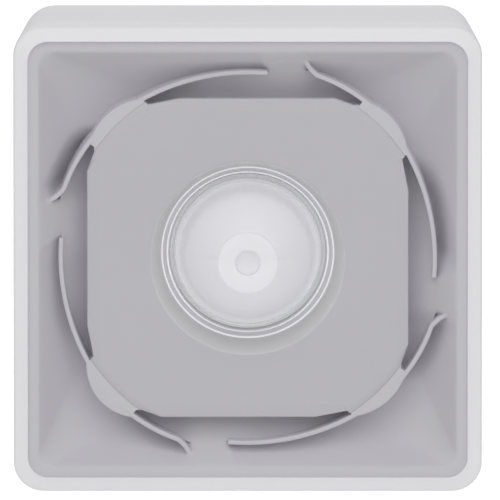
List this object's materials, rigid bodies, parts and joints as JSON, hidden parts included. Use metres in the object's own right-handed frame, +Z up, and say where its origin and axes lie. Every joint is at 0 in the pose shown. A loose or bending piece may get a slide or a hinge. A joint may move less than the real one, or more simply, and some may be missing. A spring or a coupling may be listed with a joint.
{
  "type": "motion sensor",
  "caption": "Square wall-mounted motion sensor with a domed lens in a flared sounder horn, curved vanes, and a head that unplugs from its wall plate.",
  "frame": {"origin": "centre of the wall plate's back face, on the wall", "axes": "+Z up the wall, +X to the right seen from the front, front faces -Y, the wall is at y = 0"},
  "size_m": [0.1, 0.0624, 0.1],
  "materials": {
    "housing_white": "fine moulded texture, satin",
    "horn_grey": "fine moulded texture, satin",
    "lens_clear": "polished clear",
    "retainer_clear": "polished",
    "cone_white": "smooth white",
    "cap_white": "smooth white",
    "seal_rubber": "soft moulded",
    "seal_foam": "foam",
    "can_steel": "drawn can",
    "window_film": "white diffusing film",
    "lead_wire": "tinned wire",
    "board_green": "lacquered circuit board",
    "screw_steel": "zinc plated",
    "led_yellow": "small lamp with yellow phosphor",
    "strip_black": "moulded",
    "pin_gold": "gold flash",
    "tray_white": "moulded",
    "cup_black": "moulded",
    "disc_brass": "rolled sheet",
    "ceramic_white": "fired and silvered ceramic",
    "chip_black": "moulded resin",
    "relay_blue": "moulded case",
    "capacitor_sleeve": "shrink sleeve",
    "switch_red": "moulded",
    "slider_white": "moulded",
    "setting_blue": "moulded",
    "dial_white": "moulded",
    "plunger_white": "moulded",
    "spring_steel": "spring wire",
    "cover_grey": "moulded",
    "wall_plate_white": "moulded",
    "terminal_green": "moulded",
    "contact_tin": "tinned spring copper",
    "lock_steel": "black oxide"
  },
  "bodies": {
    "wall_plate": {"wall_plate": "wall_plate_white", "cable_grommet": "seal_rubber", "terminal_block": "terminal_green", "terminal_screws": "screw_steel", "socket_contacts": "contact_tin"},
    "head": {"capacitors": "capacitor_sleeve", "coding_switch": "switch_red", "delay_body": "setting_blue", "front_plate": "horn_grey", "funnel_insert": "horn_grey", "lens_dome": "lens_clear", "lens_retainer": "retainer_clear", "lens_seal": "seal_rubber", "link_header": "strip_black", "link_pins": "pin_gold", "link_socket": "strip_black", "main_board": "board_green", "main_board_screws": "screw_steel", "main_chip": "chip_black", "outer_housing": "housing_white", "plate_screws": "screw_steel", "plug_body": "strip_black", "plug_pins": "pin_gold", "pyro_sensor": "can_steel", "rear_cover": "cover_grey", "rear_cover_screws": "screw_steel", "rear_cover_seal": "seal_foam", "relay": "relay_blue", "sensitivity_body": "setting_blue", "sensor_board": "board_green", "sensor_board_screws": "screw_steel", "sensor_cap": "cap_white", "sensor_cone": "cone_white", "sensor_leads": "lead_wire", "sensor_window": "window_film", "sound_tray": "tray_white", "sounder_ceramic": "ceramic_white", "sounder_cup": "cup_black", "sounder_disc": "disc_brass", "status_leds": "led_yellow", "tamper_spring": "spring_steel", "tamper_switch": "strip_black", "vane_ring": "horn_grey"},
    "tamper_pin": {"tamper_plunger": "plunger_white"},
    "locking_screw": {"locking_screw": "lock_steel"},
    "sensitivity_dial": {"sensitivity_dial": "dial_white"},
    "delay_dial": {"delay_dial": "dial_white"},
    "slider_1": {"coding_slider_1": "slider_white"},
    "slider_2": {"coding_slider_2": "slider_white"},
    "slider_3": {"coding_slider_3": "slider_white"},
    "slider_4": {"coding_slider_4": "slider_white"}
  },
  "joints": [
    {"name": "head_pull", "type": "slide", "parent": "wall_plate", "child": "head", "axis": [0, -1, 0], "range_m": [0, 0.06]},
    {"name": "tamper_plunge", "type": "slide", "parent": "head", "child": "tamper_pin", "axis": [0, 1, 0], "range_m": [0, 0.0026]},
    {"name": "locking_screw_turn", "type": "hinge", "parent": "head", "child": "locking_screw", "pos_m": [0, -0.005, -0.0466], "axis": [0, 0, -1], "range_deg": [0, 720]},
    {"name": "sensitivity_turn", "type": "hinge", "parent": "head", "child": "sensitivity_dial", "pos_m": [-0.026, -0.018, 0.014], "axis": [0, 1, 0], "range_deg": [-135, 135]},
    {"name": "delay_turn", "type": "hinge", "parent": "head", "child": "delay_dial", "pos_m": [-0.026, -0.018, 0.027], "axis": [0, 1, 0], "range_deg": [-135, 135]},
    {"name": "slider_1_slide", "type": "slide", "parent": "head", "child": "slider_1", "axis": [0, 0, 1], "range_m": [0, 0.002]},
    {"name": "slider_2_slide", "type": "slide", "parent": "head", "child": "slider_2", "axis": [0, 0, 1], "range_m": [0, 0.002]},
    {"name": "slider_3_slide", "type": "slide", "parent": "head", "child": "slider_3", "axis": [0, 0, 1], "range_m": [0, 0.002]},
    {"name": "slider_4_slide", "type": "slide", "parent": "head", "child": "slider_4", "axis": [0, 0, 1], "range_m": [0, 0.002]}
  ],
  "couplings": [
    {"joint": "tamper_plunge", "follows": "head_pull", "ratio": 0.0433}
  ]
}
